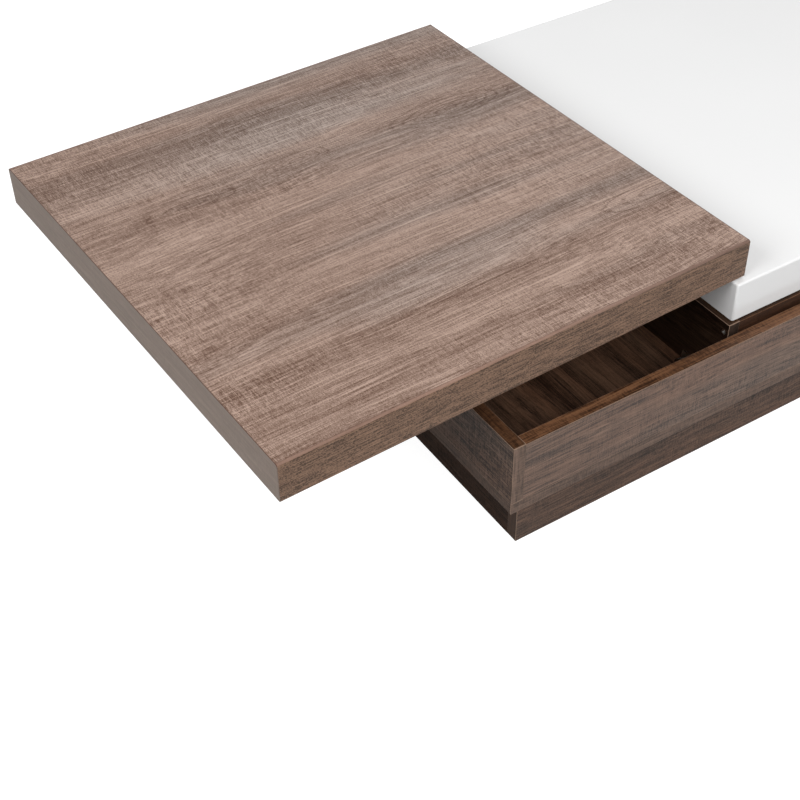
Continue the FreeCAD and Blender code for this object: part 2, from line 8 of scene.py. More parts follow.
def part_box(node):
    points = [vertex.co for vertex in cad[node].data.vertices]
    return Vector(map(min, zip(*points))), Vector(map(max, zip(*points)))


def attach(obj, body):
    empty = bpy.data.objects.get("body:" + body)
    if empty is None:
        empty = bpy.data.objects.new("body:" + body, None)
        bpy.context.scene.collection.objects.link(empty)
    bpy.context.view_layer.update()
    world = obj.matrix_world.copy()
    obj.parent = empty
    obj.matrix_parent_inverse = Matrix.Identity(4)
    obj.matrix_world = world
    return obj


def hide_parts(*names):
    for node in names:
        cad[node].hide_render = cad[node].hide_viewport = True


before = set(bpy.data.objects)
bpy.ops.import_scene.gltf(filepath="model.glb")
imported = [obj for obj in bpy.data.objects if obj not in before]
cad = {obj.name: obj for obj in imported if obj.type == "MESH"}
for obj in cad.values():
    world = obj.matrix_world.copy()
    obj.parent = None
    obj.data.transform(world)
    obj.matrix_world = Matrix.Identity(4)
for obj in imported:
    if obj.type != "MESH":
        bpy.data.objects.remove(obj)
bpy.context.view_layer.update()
scene = bpy.context.scene


# ---- Studio ----
# The camera stands at the left front corner, looking down over the swivel top. A pale floor under a
# white surround keeps the soft shadow of the table. Wide lamps hang over it and stand on all sides.
CAMERA_PLACE = (-1.33897, -1.37782, 1.43222)
CAMERA_LOOK = (0.40864, 0.62037, -0.66944)
CAMERA_LENS = 65.96
CAMERA_SENSOR = 36.0
CAMERA_SHIFT = (-0.0303, -0.0053)
CAMERA_REACH = 100.0
FLOOR_SIZE = 30.0
FLOOR_GREY = 0.24                # what the floor gives back as light
FLOOR_ROUGH = 0.9
FLOOR_SEEN = (0.90, 0.30)        # its own white and its lit share, as the camera sees it
FLOOR_MIRRORED = (0.04, 0.85)    # and as a glossy face mirrors it
SURROUND_LIGHT = 0.22
SURROUND_SEEN = 1.0
WHITE = (1.0, 1.0, 1.0)
LAMPS = (                        # name, place, size, watts
    ("overhead_lamp", (0.2, 0.6, 3.0), (3.0, 3.0), 8.0),
    ("right_lamp", (1.3, -2.4, 2.7), (2.8, 2.0), 46.0),
    ("front_lamp", (-1.0, -2.7, 2.3), (2.8, 2.0), 62.0),
    ("left_lamp", (-3.1, -0.6, 2.4), (2.0, 1.6), 72.0),
    ("back_lamp", (2.4, 2.4, 1.9), (2.4, 1.6), 32.0),
)
LAMP_AIM = (-0.1, 0.0, 0.25)


class Finish:
    """A material being mixed: its nodes, its links and its shader."""

    def __init__(self, name, colour, rough, sheen=0.5):
        self.material = bpy.data.materials.new(name)
        self.material.use_nodes = True
        self.nodes = self.material.node_tree.nodes
        self.links = self.material.node_tree.links
        self.shader = self.nodes["Principled BSDF"]
        self.set("Base Color", (*colour, 1.0))
        self.set("Roughness", rough)
        self.set("Specular IOR Level", sheen)

    def set(self, socket, value):
        """A socket of the shader gets a number, a colour or another node's output."""
        self.feed(self.shader.inputs[socket], value)

    def node(self, kind, **settings):
        made = self.nodes.new("ShaderNode" + kind)
        for name, value in settings.items():
            setattr(made, name, value)
        return made

    def feed(self, socket, value):
        """A link where the value is another node's output, or else a set number."""
        if isinstance(value, bpy.types.NodeSocket):
            self.links.new(value, socket)
        else:
            socket.default_value = value

    def fed(self, kind, *values, **settings):
        """A node with its first sockets fed, as its first output."""
        made = self.node(kind, **settings)
        for socket, value in zip(made.inputs, values):
            self.feed(socket, value)
        return made.outputs[0]

    def sum(self, operation, *values):
        return self.fed("Math", *values, operation=operation)

    def vector(self, operation, *values):
        return self.fed("VectorMath", *values, operation=operation)

    def between(self, value, low, high, out_low=0.0, out_high=1.0):
        """A value from one range carried smoothly into another."""
        return self.fed("MapRange", value, low, high, out_low, out_high,
                        interpolation_type="SMOOTHSTEP")

    def over(self, below, cloud, amount):
        """A tone with a cloud laid over it, which makes it lighter here and darker there."""
        return self.sum("MULTIPLY_ADD", self.sum("SUBTRACT", cloud, 0.5), amount, below)

    def rings(self, field, count):
        """Rings that a field draws: 0 on a ring and 0.5 midway."""
        return self.sum("PINGPONG", self.sum("MULTIPLY", field, count), 0.5)

    def lines(self, rings, width):
        """1 on each ring, fading to 0 beside it."""
        return self.between(rings, 0.0, width, out_low=1.0, out_high=0.0)

    def place(self, turn=(0.0, 0.0, 0.0), move=(0.0, 0.0, 0.0)):
        """Where a point is on the piece, turned and moved."""
        made = self.node("Mapping")
        made.inputs["Rotation"].default_value = turn
        made.inputs["Location"].default_value = move
        self.links.new(self.node("TexCoord").outputs["Object"], made.inputs["Vector"])
        return made.outputs[0]

    def cloud(self, point, scale, detail=2.0, rough=0.5):
        made = self.node("TexNoise")
        self.feed(made.inputs["Vector"], self.vector("MULTIPLY", point, scale))
        made.inputs["Scale"].default_value = 1.0
        made.inputs["Detail"].default_value = detail
        made.inputs["Roughness"].default_value = rough
        return made.outputs["Fac"]

    def mottle(self, fine, detail=2.0, rough=0.5):
        """An even cloud, the same in all directions."""
        return self.cloud(self.place(), (fine, fine, fine), detail, rough)

    def grain(self, point, along, across, detail=2.0, rough=0.5):
        """A cloud drawn out along the piece: how fine it is along and across."""
        return self.cloud(point, (along, across, across), detail, rough)

    def ramp(self, tone, dark, light, start=0.0, end=1.0):
        """A dark colour that turns into a light one as the tone goes from start to end."""
        made = self.node("ValToRGB")
        steps = made.color_ramp.elements
        for step, place, colour in zip(steps, (start, end), (dark, light)):
            step.position = place
            step.color = (*colour, 1.0)
        self.feed(made.inputs[0], tone)
        return made.outputs[0]

    def paint(self, tone, dark, light, start=0.0, end=1.0):
        self.set("Base Color", self.ramp(tone, dark, light, start, end))

    def relief(self, height, strength, depth):
        made = self.node("Bump")
        made.inputs["Strength"].default_value = strength
        made.inputs["Distance"].default_value = depth
        self.feed(made.inputs["Height"], height)
        self.set("Normal", made.outputs[0])


def ray_is(nodes, links, *kinds):
    """1 where the light path is of one of these kinds, and 0 for all others."""
    path = nodes.new("ShaderNodeLightPath")
    seen = path.outputs[kinds[0]]
    for kind in kinds[1:]:
        add = nodes.new("ShaderNodeMath")
        add.operation = "MAXIMUM"
        links.new(seen, add.inputs[0])
        links.new(path.outputs[kind], add.inputs[1])
        seen = add.outputs[0]
    return seen


def mixed(nodes, links, share, plain, shown):
    mix = nodes.new("ShaderNodeMixShader")
    for socket, source in zip(mix.inputs, (share, plain, shown)):
        links.new(source, socket)
    return mix.outputs[0]


def make_lamp(name, place, size, watts):
    data = bpy.data.lights.new(name, "AREA")
    data.shape = "RECTANGLE"
    data.size, data.size_y = size
    data.energy = watts
    lamp = bpy.data.objects.new(name, data)
    lamp.location = place
    aim = Vector(LAMP_AIM) - Vector(place)
    lamp.rotation_euler = aim.to_track_quat("-Z", "Y").to_euler()
    lamp.visible_glossy = False
    scene.collection.objects.link(lamp)


def glowing(nodes, links, own, lit):
    """White of its own with a share that is lit, so that a shadow still shows in it."""
    glow = nodes.new("ShaderNodeEmission")
    glow.inputs["Strength"].default_value = own
    matt = nodes.new("ShaderNodeBsdfDiffuse")
    matt.inputs["Color"].default_value = (lit, lit, lit, 1.0)
    both = nodes.new("ShaderNodeAddShader")
    links.new(glow.outputs[0], both.inputs[0])
    links.new(matt.outputs[0], both.inputs[1])
    return both.outputs[0]


scene.view_settings.view_transform = "Standard"
lens = bpy.data.cameras.new("camera")
lens.lens = CAMERA_LENS
lens.sensor_width = CAMERA_SENSOR
lens.shift_x, lens.shift_y = CAMERA_SHIFT
lens.clip_end = CAMERA_REACH
camera = bpy.data.objects.new("camera", lens)
camera.location = CAMERA_PLACE
camera.rotation_euler = Vector(CAMERA_LOOK).to_track_quat("-Z", "Y").to_euler()
scene.collection.objects.link(camera)
scene.camera = camera
for lamp in LAMPS:
    make_lamp(*lamp)

surround = bpy.data.worlds.new("surround")
surround.use_nodes = True
scene.world = surround
nodes, links = surround.node_tree.nodes, surround.node_tree.links
nodes.clear()
whites = []
for strength in (SURROUND_LIGHT, SURROUND_SEEN):
    white = nodes.new("ShaderNodeBackground")
    white.inputs["Strength"].default_value = strength
    white.inputs["Color"].default_value = (*WHITE, 1.0)
    whites.append(white.outputs[0])
seen = ray_is(nodes, links, "Is Camera Ray", "Is Glossy Ray", "Is Transmission Ray")
sky = nodes.new("ShaderNodeOutputWorld")
links.new(mixed(nodes, links, seen, *whites), sky.inputs["Surface"])

pale = Finish("pale_floor", (FLOOR_GREY,) * 3, FLOOR_ROUGH, sheen=0.0)
nodes, links = pale.nodes, pale.links
shown = pale.shader.outputs[0]
for rays, white in ((("Is Glossy Ray", "Is Transmission Ray"), FLOOR_MIRRORED),
                    (("Is Camera Ray",), FLOOR_SEEN)):
    seen = ray_is(nodes, links, *rays)
    shown = mixed(nodes, links, seen, shown, glowing(nodes, links, *white))
links.new(shown, nodes["Material Output"].inputs["Surface"])
half = FLOOR_SIZE / 2
mesh = bpy.data.meshes.new("floor")
mesh.from_pydata([(-half, -half, 0), (half, -half, 0), (half, half, 0), (-half, half, 0)], [],
                 [(0, 1, 2, 3)])
mesh.materials.append(pale.material)
floor = bpy.data.objects.new("floor", mesh)
scene.collection.objects.link(floor)


# ---- Plinth ----
# Four boards on edge under the box, set back from its sides, with three cross rails and glued
# corner blocks inside. They are chipboard faced with dark walnut melamine, and the long boards'
# ends are banded.
BOARD = 0.018
BAND = 0.001
ARRIS = 0.0004
PLINTH_LIGHT = (0.148, 0.084, 0.056)
PLINTH_DARK = (0.006, 0.003, 0.002)
PLINTH_END_PAINTED_SHADE = 0.39          # painted shade: the end boards are darker than the long ones, for the shade under the swivel top
# painted shade: the plinth's upright corner bands are darkened for the shade under the box
PLINTH_BAND_LIGHT = (0.072, 0.0333, 0.0162)
PLINTH_BAND_DARK = (0.0018, 0.0009, 0.0006)
# painted highlight: a lighter colour on the rounded arrises of the bands, where the rounding
# catches the light
ARRIS_HIGHLIGHT_LIGHT = (0.30, 0.21, 0.15)
ARRIS_HIGHLIGHT_DARK = (0.208, 0.132, 0.096)
CHIP_LIGHT = (0.62, 0.47, 0.30)
CHIP_DARK = (0.33, 0.22, 0.12)
CHIP_FINE = (260.0, 330.0, 410.0)
CHIP_SHADE = -0.6                # what a chip adds to the tone towards its edge
SAWDUST_FINE = (500.0, 900.0, 700.0)
SAWDUST_LEVEL = 0.3
SOFTWOOD_LIGHT = (0.72, 0.54, 0.34)
SOFTWOOD_DARK = (0.50, 0.32, 0.17)
PRINT_ROSE = (1.054, 0.963, 0.905)     # tints of the walnut print where it is light
PRINT_GREY = (0.972, 1.010, 1.034)     # and where it is dark
PRINT_WANDER = 0.012                   # how far its streaks stray
PRINT_DEPTH = 0.00015
COARSE_FIBRE = 150.0                   # how fine the print's fibres and specks are across the grain
FINE_FIBRE = 430.0
SPECK = 900.0
RING_SHADE = -0.10                     # what a yearly ring and a pore add to the tone
PORE_SHADE = -0.12
SCRATCHES = (                    # how fine along and across, how much lighter
    (4.0, 330.0, 0.26),
    (6.0, 520.0, 0.42),
)
SAW_MARKS = (                    # how fine along and across, how strong
    (1050.0, 90.0, 2.5),
    (400.0, 26.0, 1.5),
)
BAND_FIBRES = (                  # how fine along and across, noise detail, how strong
    (3.0, 60.0, 2.0, 0.7),
    (7.0, 240.0, 3.0, 1.3),
    (22.0, 480.0, 2.0, 1.5),
    (500.0, 120.0, 2.0, 1.1),
)
FOIL_THREADS = (                 # the same, for the ribs of an embossed foil
    (6.0, 700.0, 1.0, 1.6),
    (420.0, 800.0, 1.0, 1.6),
)
QUARTER = math.pi / 2
ALONG = {"x": (0.0, 0.0, 0.0), "y": (0.0, 0.0, -QUARTER), "z": (0.0, QUARTER, 0.0)}


def darker(colour, share):
    """A colour with a share of its light."""
    return tuple(c * share for c in colour)


class Walnut(Finish):
    """Printed walnut, mixed layer upon layer in one tone that its colour and relief follow."""

    def __init__(self, name, light, dark, along, rough, sheen, move, turn=0.0):
        super().__init__(name, light, rough, sheen)
        self.light, self.dark = light, dark
        tilt = ALONG[along]
        self.point = self.place((tilt[0], tilt[1], tilt[2] - turn), move)
        wander = self.between(self.grain(self.point, along=1.7, across=5.0), low=0.2, high=0.8,
                              out_low=-PRINT_WANDER, out_high=PRINT_WANDER)
        shift = self.fed("CombineXYZ", 0.0, wander, wander)
        self.bent = self.vector("ADD", self.point, shift)
        self.tone = self.mood = 0.5

    def layer(self, cloud, amount):
        self.tone = self.over(self.tone, cloud, amount)

    def mark(self, share, amount):
        """The tone grows by an amount, as far as the share goes."""
        self.tone = self.sum("MULTIPLY_ADD", share, amount, self.tone)

    def streaks(self, broad, middle):
        """The wide streaks of the wood, which its tint follows too."""
        self.layer(self.grain(self.bent, along=0.8, across=10.0), broad)
        self.layer(self.grain(self.bent, along=1.9, across=42.0, rough=0.55), middle)
        self.mood = self.tone

    def fibres(self, coarse_along, coarse, fine_along, fine, specks):
        """Long fibres over short fine ones, specks, and thin light scratches."""
        self.layer(self.grain(self.bent, coarse_along, COARSE_FIBRE, detail=3.0, rough=0.7), coarse)
        self.layer(self.grain(self.bent, fine_along, FINE_FIBRE, detail=3.0, rough=0.8), fine)
        self.layer(self.grain(self.point, SPECK, SPECK, rough=0.8), specks)
        for along, across, amount in SCRATCHES:
            scratches = self.grain(self.bent, along, across, detail=1.0)
            self.mark(self.between(scratches, low=0.58, high=0.72), amount)

    def saw_marks(self, amount):
        """Fine marks across the grain, in patches."""
        patches = self.grain(self.point, along=3.0, across=8.0, detail=3.0)
        patches = self.between(patches, low=0.36, high=0.66, out_low=0.25)
        for along, across, strength in SAW_MARKS:
            marks = self.grain(self.point, along, across, detail=3.0, rough=0.8)
            self.layer(self.over(0.5, marks, patches), strength * amount)

    def yearly_rings(self, amount):
        """Thin dark lines of yearly rings, in patches."""
        figured = self.grain(self.point, along=1.8, across=6.0, detail=1.0)
        figured = self.between(figured, low=0.52, high=0.62)
        field = self.grain(self.bent, along=2.0, across=9.0, detail=1.0, rough=0.3)
        lines = self.lines(self.rings(field, count=15.0), width=0.20)
        self.mark(self.sum("MULTIPLY", lines, figured), RING_SHADE * amount)

    def printed(self, level=1.0, rosier=0.0):
        """Pores come last, then the tone is turned into the two colours and their tints."""
        pores = self.grain(self.bent, along=45.0, across=900.0, detail=1.0)
        self.mark(self.between(pores, low=0.62, high=0.72), PORE_SHADE)
        tone = self.sum("MULTIPLY", self.tone, level)
        patches = self.over(self.grain(self.bent, along=1.0, across=11.0), self.mood, amount=0.3)
        blush = self.sum("ADD", self.between(patches, low=0.32, high=0.68), rosier)
        tint = self.tinted("MIX", blush, (*PRINT_GREY, 1.0), (*PRINT_ROSE, 1.0))
        colour = self.ramp(tone, self.dark, self.light)
        self.set("Base Color", self.tinted("MULTIPLY", 1.0, colour, tint))
        self.relief(tone, strength=0.35, depth=PRINT_DEPTH)
        return self.material

    def tinted(self, kind, share, a, b):
        made = self.node("Mix", data_type="RGBA", blend_type=kind)
        for socket, value in zip((made.inputs[0], *made.inputs[6:8]), (share, a, b)):
            self.feed(socket, value)
        return made.outputs[2]


def walnut_board(name, light, dark, along, rough, sheen, streak, saw, move=(0.0, 0.0, 0.0)):
    """Melamine with a walnut print, as on the boards of the box."""
    wood = Walnut(name, light, dark, along, rough, sheen, move)
    wood.streaks(broad=0.75 * streak, middle=0.6 * streak)
    wood.fibres(coarse_along=4.5, coarse=0.82 * streak, fine_along=20.0, fine=2.2, specks=1.9)
    wood.saw_marks(saw)
    wood.yearly_rings(streak)
    return wood.printed()


def edge_band(name, light, dark, along="x", sheen=0.3, grain=1.0, threads=0.0):
    """Thin wood-print strip with dark fibres along it, and on some the ribs of a foil."""
    finish = Finish(name, light, rough=0.5, sheen=sheen)
    point = finish.place(ALONG[along])
    tone = 0.5
    for rows, share in ((BAND_FIBRES, grain), (FOIL_THREADS, threads)):
        for fine_along, fine_across, detail, amount in rows if share else ():
            cloud = finish.grain(point, fine_along, fine_across, detail, rough=0.7)
            tone = finish.over(tone, cloud, amount * share)
    finish.paint(tone, dark, light)
    finish.relief(tone, strength=0.3, depth=0.0001)
    return finish.material


def softwood(along):
    """Sawn softwood with its yearly rings as broad stripes."""
    finish = Finish("softwood_" + along, SOFTWOOD_LIGHT, rough=0.7)
    point = finish.place(ALONG[along])
    rings = finish.rings(finish.grain(point, along=1.5, across=26.0, rough=0.4), count=12.0)
    fibres = finish.grain(point, along=16.0, across=700.0, rough=0.6)
    tone = finish.over(rings, fibres, amount=0.5)
    finish.paint(tone, SOFTWOOD_DARK, SOFTWOOD_LIGHT, start=0.02, end=0.42)
    finish.relief(tone, strength=0.4, depth=0.0003)
    return finish.material


def dress(material, *nodes):
    """CAD pieces keep their shape and get a finish."""
    for node in nodes:
        slots = cad[node].data.materials
        slots.clear()
        slots.append(material)


def finished(name, shape, materials, body, slot, *replaced):
    """A closed mesh becomes a piece that rides on a body."""
    mesh = bpy.data.meshes.new(name)
    shape.to_mesh(mesh)
    shape.free()
    for material in materials:
        mesh.materials.append(material)
    piece = bpy.data.objects.new(name, mesh)
    scene.collection.objects.link(piece)
    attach(piece, body)
    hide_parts(*replaced)


def cuboid(shape, low, high):
    """A plain box between two corners."""
    low, high = Vector(low), Vector(high)
    place = Matrix.Translation((high + low) / 2) @ Matrix.Diagonal((*(high - low), 1.0))
    return bmesh.ops.create_cube(shape, size=1.0, matrix=place)["verts"]


def strips(name, node, bars, face, arris):
    """Edge bands with rounded arrises, one closed body each, in the place of a CAD node."""
    shape = bmesh.new()
    for low, high in bars:
        edges = list({e for v in cuboid(shape, low, high) for e in v.link_edges})
        rounding = bmesh.ops.bevel(shape, geom=edges, offset=ARRIS, segments=2, profile=0.5,
                                   affect="EDGES", clamp_overlap=False)
        for rounded in rounding["faces"]:
            rounded.smooth = True
            rounded.material_index = 1
    finished(name, shape, (face, arris), "base", "walnut_edge_band", node)


def upright_bars(node, size_x, size_y):
    """Four upright bars in the corners of a node's box."""
    low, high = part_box(node)
    return [((x, y, low.z), (x + size_x, y + size_y, high.z))
            for x in (low.x, high.x - size_x) for y in (low.y, high.y - size_y)]


plinth_x = walnut_board("plinth_walnut_along_x", PLINTH_LIGHT, PLINTH_DARK, "x", rough=0.55,
                        sheen=0.3, streak=1.3, saw=1.0, move=(0.6, 1.7, 2.2))
# Painted shade: the plinth's end boards get a darker, less glossy copy of its print.
plinth_y = walnut_board("plinth_walnut_along_y", darker(PLINTH_LIGHT, PLINTH_END_PAINTED_SHADE),
                        darker(PLINTH_DARK, PLINTH_END_PAINTED_SHADE), "y", rough=0.55, sheen=0.05,
                        streak=1.2, saw=1.0, move=(1.6, 0.9, 1.2))
# Painted shade: a dark band colour for the plinth's shaded corners.
plinth_band = edge_band("plinth_band_along_z", PLINTH_BAND_LIGHT, PLINTH_BAND_DARK, "z",
                        grain=0.6, sheen=0.15)
# Painted highlight on the rounded arrises of the edge bands.
arris_highlight = edge_band("painted_arris_highlight", ARRIS_HIGHLIGHT_LIGHT, ARRIS_HIGHLIGHT_DARK, "z")
chipboard = Finish("raw_chipboard", CHIP_LIGHT, rough=0.85)
point = chipboard.place()
chips = chipboard.node("TexVoronoi", feature="F1")
chipboard.feed(chips.inputs["Vector"], chipboard.vector("MULTIPLY", point, CHIP_FINE))
chips.inputs["Scale"].default_value = 1.0
ground = chipboard.sum("ADD", chipboard.cloud(point, SAWDUST_FINE), SAWDUST_LEVEL)
tone = chipboard.sum("MULTIPLY_ADD", chips.outputs["Distance"], CHIP_SHADE, ground)
chipboard.paint(tone, CHIP_DARK, CHIP_LIGHT, start=0.15, end=0.62)
chipboard.relief(tone, strength=0.4, depth=0.0004)
raw_board = chipboard.material
soft_z = softwood("z")
dress(plinth_x, "plinth_front", "plinth_back")
dress(plinth_y, "plinth_left", "plinth_right")
dress(raw_board, "plinth_cross_rails")
dress(soft_z, "plinth_corner_blocks")
strips("plinth_end_strips", "plinth_end_bands", upright_bars("plinth_end_bands", BAND, BOARD),
       plinth_band, arris_highlight)


# ---- Bottom board ----
# One board lies on the plinth and closes the box from below. Its walnut print is darker and browner
# than outside, partly as painted shade for the dim compartment. Its four edges have thin bands, the
# end ones glued between those at front and back.
BOX_LIGHT = (0.208, 0.132, 0.096)
BOX_DARK = (0.012, 0.007, 0.005)
# painted shade: the end bands of the bottom board are darker than those at front and back
SEAM_END_PAINTED_SHADE = 0.7
# partly painted shade: the inside print is darker and browner for the dim compartment
INSIDE_LIGHT = (0.165, 0.092, 0.057)
INSIDE_DARK = (0.014, 0.006, 0.004)


def long_bars(node, width, inset):
    """Two bars along x, at the front and the back of a node's box, set in from its ends."""
    low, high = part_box(node)
    return [((low.x + inset, y, low.z), (high.x - inset, y + width, high.z))
            for y in (low.y, high.y - width)]


def end_bars(node, width, inset):
    """Two bars along y, at the left and the right end, set in from front and back."""
    low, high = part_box(node)
    return [((x, low.y + inset, low.z), (x + width, high.y - inset, high.z))
            for x in (low.x, high.x - width)]


inside_y = walnut_board("inside_walnut_along_y", INSIDE_LIGHT, INSIDE_DARK, "y", rough=0.5,
                        sheen=0.35, streak=2.2, saw=0.4, move=(2.2, 0.3, 0.9))
seam_x = edge_band("seam_band_along_x", BOX_LIGHT, BOX_DARK, "x", grain=0.8)
# Painted shade: a darker, less glossy copy of the band for the ends.
seam_y = edge_band("seam_band_along_y", darker(BOX_LIGHT, SEAM_END_PAINTED_SHADE),
                   darker(BOX_DARK, SEAM_END_PAINTED_SHADE), "y", grain=0.8, sheen=0.12)
dress(inside_y, "bottom_board")
strips("bottom_board_strips", "bottom_board_bands", long_bars("bottom_board_bands", BAND, 0.0),
       seam_x, arris_highlight)
strips("bottom_board_end_strips", "bottom_board_bands",
       end_bars("bottom_board_bands", BAND, BAND), seam_y, arris_highlight)


# ---- Walls of the box ----
# Front and back walls stand between the end walls. All four are walnut-faced board with a band
# along the rim, and the end walls have upright bands at their front and back ends.
WALL_END_PAINTED_SHADE = 0.92            # painted shade: the end walls are darker than the long ones, for the shade under the swivel top
BAND_LIGHT = (0.160, 0.074, 0.036)
BAND_DARK = (0.022, 0.008, 0.003)
# painted shade: the rim bands of the end walls are darker than the long ones
BAND_END_PAINTED_SHADE = 0.68
walnut_x = walnut_board("walnut_along_x", BOX_LIGHT, BOX_DARK, "x", rough=0.48, sheen=0.4,
                        streak=1.15, saw=1.1)
# Painted shade: the end walls get a darker, less glossy copy of the wall print.
walnut_y = walnut_board("walnut_along_y", darker(BOX_LIGHT, WALL_END_PAINTED_SHADE),
                        darker(BOX_DARK, WALL_END_PAINTED_SHADE), "y", rough=0.48, sheen=0.12,
                        streak=1.2, saw=1.0, move=(3.1, 0.7, 0.4))
band_x = edge_band("band_along_x", BAND_LIGHT, BAND_DARK, "x", grain=1.7)
# Painted shade: a darker copy of the rim band for the end walls.
band_y = edge_band("end_rim_band_along_y", darker(BAND_LIGHT, BAND_END_PAINTED_SHADE),
                   darker(BAND_DARK, BAND_END_PAINTED_SHADE), "y", grain=1.7)
band_z = edge_band("band_along_z", BOX_LIGHT, BOX_DARK, "z", grain=0.9)
dress(walnut_x, "front_wall", "back_wall")
dress(walnut_y, "left_wall", "right_wall")
strips("long_rim_strips", "rim_bands", long_bars("rim_bands", BOARD, BOARD), band_x, arris_highlight)
strips("end_rim_strips", "rim_bands", end_bars("rim_bands", BOARD, BAND), band_y, arris_highlight)
strips("wall_end_strips", "wall_end_bands", upright_bars("wall_end_bands", BOARD, BAND),
       band_z, arris_highlight)


# ---- Fixings of the box ----
# Connector screws come up through the bottom board. Dowels and cam locks join the walls at the
# corners: each cam is a zinc barrel with a cross slot, let into a long wall, and pulls on a bolt in
# the end wall.
ZINC = (0.62, 0.62, 0.60)
CAST_ZINC = (0.55, 0.55, 0.54)
ROUND = 24
SAME_PLACE = 5                   # points that agree to this many decimals are one
FLATS_OF_SIX = math.cos(math.pi / 6)       # width over the flats, of that over the corners
FLATS_OF_TWELVE = math.cos(math.pi / 12)
HEAD_FACE = 0.97                 # the flat of a screw's head, of its whole width
HEAD_RIM = 0.12                  # its upright rim, of its depth
THREAD_ROOT = 0.78               # of the shank
POINT_LENGTH = 1.6
POINT_WIDTH = 0.15
SOCKET = 0.0022
SOCKET_DEEP = 0.0014
CROSS_REACH = 0.55               # of the head
CROSS_WIDTH = 0.0008
CROSS_DEEP = 0.0007
RECESS_FLOOR = 0.8               # of its mouth
CAM_BEVEL = 0.0006
CAM_STEP = 0.0005
CAM_HEAD = 0.0045
CAM_FOOT = 0.0030
CAM_WAIST = 0.8
CAM_CROSS = 0.0042
CAM_CROSS_WIDTH = 0.0016
CAM_CROSS_DEEP = 0.0025
CONNECTOR = {"shank": 0.0024, "head_deep": 0.0025, "pitch": 0.003, "socket": True}


def metal(name, colour, rough, scratch):
    """Bare or plated metal with fine directionless wear in its gloss."""
    finish = Finish(name, colour, rough)
    finish.set("Metallic", 1.0)
    wear = finish.mottle(fine=380.0, detail=4.0, rough=0.7)
    gloss = finish.between(wear, low=0.3, high=0.7, out_low=rough - scratch,
                           out_high=rough + scratch)
    finish.set("Roughness", gloss)
    finish.paint(wear, darker(colour, 0.86), colour, start=0.3, end=0.7)
    finish.relief(wear, strength=0.15, depth=0.0001)
    return finish.material


def loose_bodies(node):
    """Points of each separate body of a CAD node that holds several."""
    mesh = cad[node].data
    leader = list(range(len(mesh.vertices)))

    def lead(i):
        while leader[i] != i:
            leader[i] = leader[leader[i]]
            i = leader[i]
        return i

    same = {}
    for i, v in enumerate(mesh.vertices):
        key = tuple(round(c, SAME_PLACE) for c in v.co)
        leader[lead(i)] = lead(same.setdefault(key, i))
    for edge in mesh.edges:
        leader[lead(edge.vertices[0])] = lead(edge.vertices[1])
    groups = {}
    for i, v in enumerate(mesh.vertices):
        groups.setdefault(lead(i), []).append(v.co.copy())
    return list(groups.values())


def box_of(points):
    low = Vector(min(p[i] for p in points) for i in range(3))
    high = Vector(max(p[i] for p in points) for i in range(3))
    return low, high


def pins_of(node):
    """Each pin of a CAD node: the middle of its head end, its direction, length and half width."""
    pins = []
    for points in loose_bodies(node):
        low, high = box_of(points)
        size = high - low
        run = max(range(3), key=lambda i: size[i])
        ends = []
        for end in (low[run], high[run]):
            flat = [p for p in points if round(p[run] - end, SAME_PLACE) == 0]
            flat_low, flat_high = box_of(flat)
            ends.append(((flat_low + flat_high) / 2, max(flat_high - flat_low)))
        (head, width), (tip, _) = ends if ends[0][1] >= ends[1][1] else ends[::-1]
        reach = tip - head
        pins.append((head, reach.normalized(), reach.length, width / 2))
    return pins


def ring_outline(radius, count=ROUND):
    turns = [2 * math.pi * i / count for i in range(count)]
    return [(radius * math.cos(turn), radius * math.sin(turn)) for turn in turns]


def cross_outline(reach, width):
    """Outline of a cross slot."""
    half = width / 2
    points = []
    for turn in range(4):
        for x, y in ((reach, -half), (reach, half), (half, half)):
            for _ in range(turn):
                x, y = -y, x
            points.append((x, y))
    return points


def turned(shape, profile, place, recess, deep):
    """Turned body: rings of radius and depth from the head down, with a recess in its head."""
    rings = [[shape.verts.new(place @ Vector((x, y, depth))) for x, y in ring_outline(radius)]
             for radius, depth in profile]
    for upper, lower in zip(rings[:-1], rings[1:]):
        for i in range(ROUND):
            face = shape.faces.new((upper[i - 1], upper[i], lower[i], lower[i - 1]))
            face.smooth = True
    shape.faces.new(rings[-1][::-1])
    mouth = [shape.verts.new(place @ Vector((x, y, 0.0))) for x, y in recess]
    floor = [shape.verts.new(place @ Vector((x * RECESS_FLOOR, y * RECESS_FLOOR, deep)))
             for x, y in recess]
    edges = []
    for loop in (rings[0], mouth):
        for i in range(len(loop)):
            pair = (loop[i - 1], loop[i])
            edges.append(shape.edges.get(pair) or shape.edges.new(pair))
    bmesh.ops.triangle_fill(shape, use_beauty=True, edges=edges)
    for i in range(len(mouth)):
        shape.faces.new((mouth[i - 1], mouth[i], floor[i], floor[i - 1]))
    shape.faces.new(floor)


def standing(at, along):
    """Where a turned body stands: its head's middle at a point, its shank along a direction."""
    return Matrix.Translation(at) @ along.to_track_quat("Z", "X").to_matrix().to_4x4()


def facing_out(shape):
    """All faces of closed bodies look outwards."""
    bmesh.ops.recalc_face_normals(shape, faces=shape.faces[:])
    return shape


def threaded(length, shank, start, pitch):
    """Profile of a screw's thread down to its point."""
    root = shank * THREAD_ROOT
    profile = []
    depth = start
    while depth + pitch < length - 2 * shank:
        profile += [(shank, depth), (root, depth + pitch / 2)]
        depth += pitch
    return profile + [(root, length - POINT_LENGTH * shank), (shank * POINT_WIDTH, length)]


